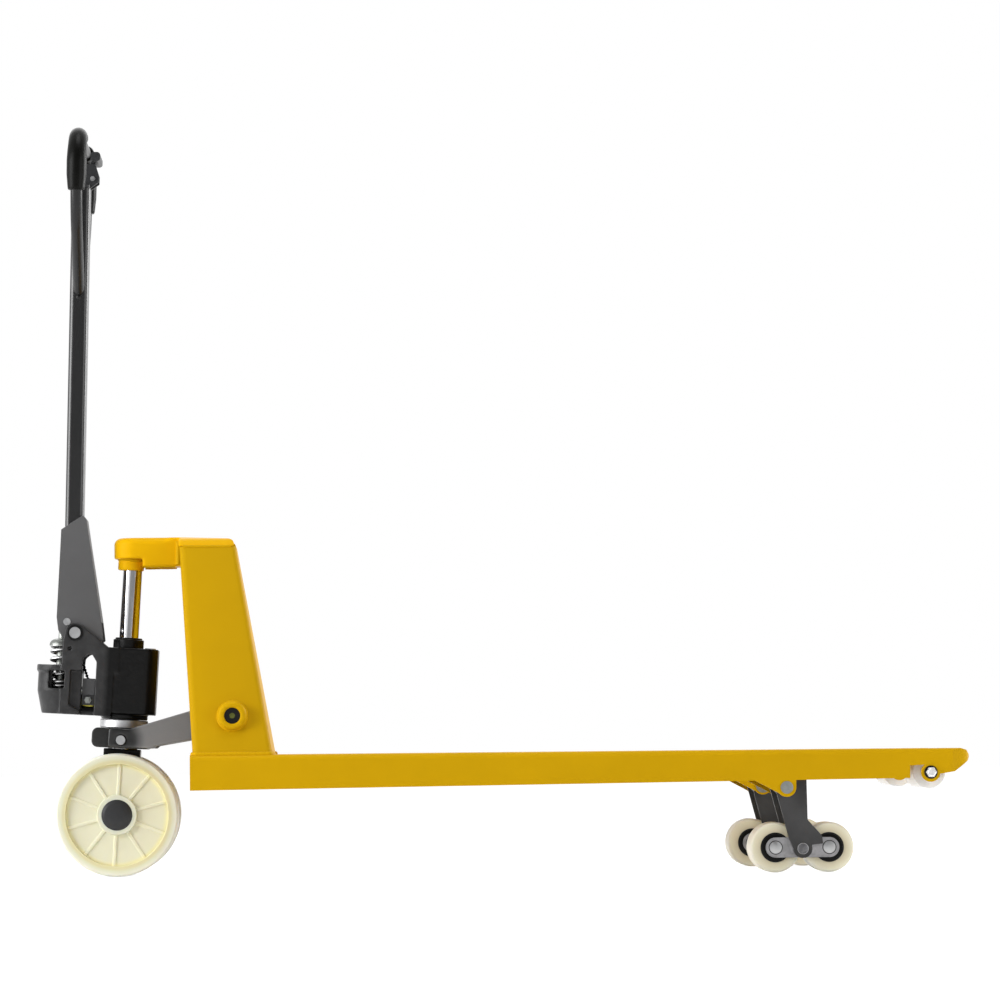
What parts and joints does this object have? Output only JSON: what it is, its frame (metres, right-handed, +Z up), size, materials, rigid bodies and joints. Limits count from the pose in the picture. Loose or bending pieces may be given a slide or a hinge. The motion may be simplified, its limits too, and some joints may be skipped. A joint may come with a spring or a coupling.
{
  "type": "pallet jack",
  "caption": "Hand pallet jack with raised channel forks, sloping frame, hydraulic pump column, twin steer wheels, upright handle with loop grip and folding tandem load rollers.",
  "frame": {"origin": "on the floor under the middle of the truck's length and width", "axes": "+X towards the fork tips, +Y to the left seen from the handle, +Z up"},
  "size_m": [1.4999, 0.562, 1.2161],
  "materials": {
    "yellow_paint": "gloss powder coat",
    "black_paint": "semi-gloss paint on castings",
    "grey_paint": "satin paint",
    "black_plastic": "moulded",
    "rubber_grip": "matt moulded rubber",
    "chrome": "polished",
    "zinc": "bright zinc plate",
    "spring_steel": "oiled wire",
    "cream_nylon": "cast nylon",
    "beige_polyurethane": "cast polyurethane",
    "white_nylon": "moulded nylon"
  },
  "bodies": {
    "chassis": {"fork_right": "yellow_paint", "fork_left": "yellow_paint", "heel_right": "yellow_paint", "heel_left": "yellow_paint", "frame_side_right": "yellow_paint", "frame_side_left": "yellow_paint", "back_plate": "yellow_paint", "ram_head": "yellow_paint", "shaft_bosses": "yellow_paint", "shaft_bushes": "black_plastic", "frame_pins": "zinc", "entry_bolts": "zinc", "ram": "chrome"},
    "link": {"link_ring": "black_paint"},
    "steering": {"thrust_bearing": "zinc", "pump_housing": "black_paint", "pump_cylinder": "zinc", "gland_nut": "black_paint", "filler_plug": "zinc", "release_valve": "zinc", "lever_pin": "zinc", "pivot_shaft": "zinc", "circlips": "zinc", "axle_carrier": "black_paint", "steer_axle": "zinc", "pump_spring": "spring_steel"},
    "plunger": {"pump_plunger": "zinc"},
    "release": {"release_lever": "grey_paint", "release_screw": "zinc"},
    "chain": {"release_chain": "zinc"},
    "handle": {"handle_bracket": "grey_paint", "handle_tube": "black_paint", "handle_loop": "grey_paint", "grips": "rubber_grip", "handle_pins": "zinc", "control_bracket": "black_plastic"},
    "press_roller": {"press_roller": "zinc"},
    "control": {"control_lever": "black_plastic"},
    "pull_rod": {"pull_rod": "zinc"},
    "rocker": {"rocker_arm": "black_paint", "torsion_shaft": "zinc", "link_pins": "zinc"},
    "wheel_right": {"steer_wheel_right": "cream_nylon", "wheel_bearings_right": "zinc", "hub_cap_right": "black_plastic"},
    "push_rod_right": {"push_rod_right": "grey_paint"},
    "leg_right": {"load_frame_right": "black_paint"},
    "bogie_right": {"bogie_right": "zinc"},
    "rear_right": {"rear_roller_right": "beige_polyurethane"},
    "front_right": {"front_roller_right": "beige_polyurethane"},
    "entry_right": {"entry_roller_right": "white_nylon"},
    "wheel_left": {"steer_wheel_left": "cream_nylon", "wheel_bearings_left": "zinc", "hub_cap_left": "black_plastic"},
    "push_rod_left": {"push_rod_left": "grey_paint"},
    "leg_left": {"load_frame_left": "black_paint"},
    "bogie_left": {"bogie_left": "zinc"},
    "rear_left": {"rear_roller_left": "beige_polyurethane"},
    "front_left": {"front_roller_left": "beige_polyurethane"},
    "entry_left": {"entry_roller_left": "white_nylon"}
  },
  "joints": [
    {"name": "lift", "type": "slide", "parent": "chassis", "child": "link", "axis": [0.061, 0, 0.9981], "range_m": [0, 0.105]},
    {"name": "steer", "type": "hinge", "parent": "link", "child": "steering", "pos_m": [-0.616, 0, 0.1], "axis": [0.061, 0, 0.9981], "range_deg": [-100, 100]},
    {"name": "handle", "type": "hinge", "parent": "steering", "child": "handle", "pos_m": [-0.68398, 0, 0.3972], "axis": [0, -1, 0], "range_deg": [0, 80], "stiffness_Nm_per_rad": 25, "springref_deg": -20.05},
    {"name": "plunger_slide", "type": "slide", "parent": "steering", "child": "plunger", "axis": [-0.061, 0, -0.9981], "range_m": [0, 0.0293], "deforming": ["pump_spring"]},
    {"name": "press_roller_spin", "type": "hinge", "parent": "handle", "child": "press_roller", "pos_m": [-0.69754, 0, 0.41554], "axis": [0, 1, 0], "continuous": true},
    {"name": "control", "type": "hinge", "parent": "handle", "child": "control", "pos_m": [-0.65369, 0, 1.14569], "axis": [0, 1, 0], "range_deg": [-10, 22]},
    {"name": "pull_slide", "type": "slide", "parent": "handle", "child": "pull_rod", "axis": [0.0244, 0, 0.9997], "range_m": [-0.0018, 0.0039]},
    {"name": "chain_slide", "type": "slide", "parent": "steering", "child": "chain", "axis": [-0.2971, 0, 0.9548], "range_m": [-0.0018, 0.0039]},
    {"name": "release", "type": "hinge", "parent": "steering", "child": "release", "pos_m": [-0.66368, -0.022, 0.30329], "axis": [0.9981, 0, -0.061], "range_deg": [-5, 11]},
    {"name": "rocker", "type": "hinge", "parent": "chassis", "child": "rocker", "pos_m": [-0.425, 0, 0.258], "axis": [0, 1, 0], "range_deg": [0, 32.84]},
    {"name": "wheel_right_spin", "type": "hinge", "parent": "steering", "child": "wheel_right", "pos_m": [-0.616, 0, 0.1], "axis": [0, 1, 0], "continuous": true},
    {"name": "push_rod_right", "type": "hinge", "parent": "rocker", "child": "push_rod_right", "pos_m": [-0.39971, -0.19, 0.17163], "axis": [0, -1, 0], "range_deg": [0, 32.84]},
    {"name": "leg_right", "type": "hinge", "parent": "chassis", "child": "leg_right", "pos_m": [0.454, -0.19, 0.136], "axis": [0, -1, 0], "range_deg": [0, 78.29]},
    {"name": "bogie_right", "type": "hinge", "parent": "leg_right", "child": "bogie_right", "pos_m": [0.482, -0.19, 0.038], "axis": [0, 1, 0], "range_deg": [0, 78.29]},
    {"name": "entry_right_spin", "type": "hinge", "parent": "chassis", "child": "entry_right", "pos_m": [0.684, -0.19, 0.158], "axis": [0, 1, 0], "continuous": true},
    {"name": "rear_right_spin", "type": "hinge", "parent": "bogie_right", "child": "rear_right", "pos_m": [0.439, -0.19, 0.04], "axis": [0, 1, 0], "continuous": true},
    {"name": "front_right_spin", "type": "hinge", "parent": "bogie_right", "child": "front_right", "pos_m": [0.525, -0.19, 0.04], "axis": [0, 1, 0], "continuous": true},
    {"name": "wheel_left_spin", "type": "hinge", "parent": "steering", "child": "wheel_left", "pos_m": [-0.616, 0, 0.1], "axis": [0, 1, 0], "continuous": true},
    {"name": "push_rod_left", "type": "hinge", "parent": "rocker", "child": "push_rod_left", "pos_m": [-0.39971, 0.19, 0.17163], "axis": [0, -1, 0], "range_deg": [0, 32.84]},
    {"name": "leg_left", "type": "hinge", "parent": "chassis", "child": "leg_left", "pos_m": [0.454, 0.19, 0.136], "axis": [0, -1, 0], "range_deg": [0, 78.29]},
    {"name": "bogie_left", "type": "hinge", "parent": "leg_left", "child": "bogie_left", "pos_m": [0.482, 0.19, 0.038], "axis": [0, 1, 0], "range_deg": [0, 78.29]},
    {"name": "entry_left_spin", "type": "hinge", "parent": "chassis", "child": "entry_left", "pos_m": [0.684, 0.19, 0.158], "axis": [0, 1, 0], "continuous": true},
    {"name": "rear_left_spin", "type": "hinge", "parent": "bogie_left", "child": "rear_left", "pos_m": [0.439, 0.19, 0.04], "axis": [0, 1, 0], "continuous": true},
    {"name": "front_left_spin", "type": "hinge", "parent": "bogie_left", "child": "front_left", "pos_m": [0.525, 0.19, 0.04], "axis": [0, 1, 0], "continuous": true}
  ],
  "couplings": [
    {"joint": "plunger_slide", "follows": "handle", "m_per_rad": 0.020913},
    {"joint": "pull_slide", "follows": "control", "m_per_rad": 0.01},
    {"joint": "chain_slide", "follows": "control", "m_per_rad": 0.01},
    {"joint": "release", "follows": "control", "ratio": 0.45454},
    {"joint": "rocker", "follows": "lift", "rad_per_m": 5.4248},
    {"joint": "push_rod_right", "follows": "lift", "rad_per_m": 5.4248},
    {"joint": "leg_right", "follows": "lift", "rad_per_m": 12.964},
    {"joint": "bogie_right", "follows": "lift", "rad_per_m": 12.964},
    {"joint": "push_rod_left", "follows": "lift", "rad_per_m": 5.4248},
    {"joint": "leg_left", "follows": "lift", "rad_per_m": 12.964},
    {"joint": "bogie_left", "follows": "lift", "rad_per_m": 12.964}
  ]
}
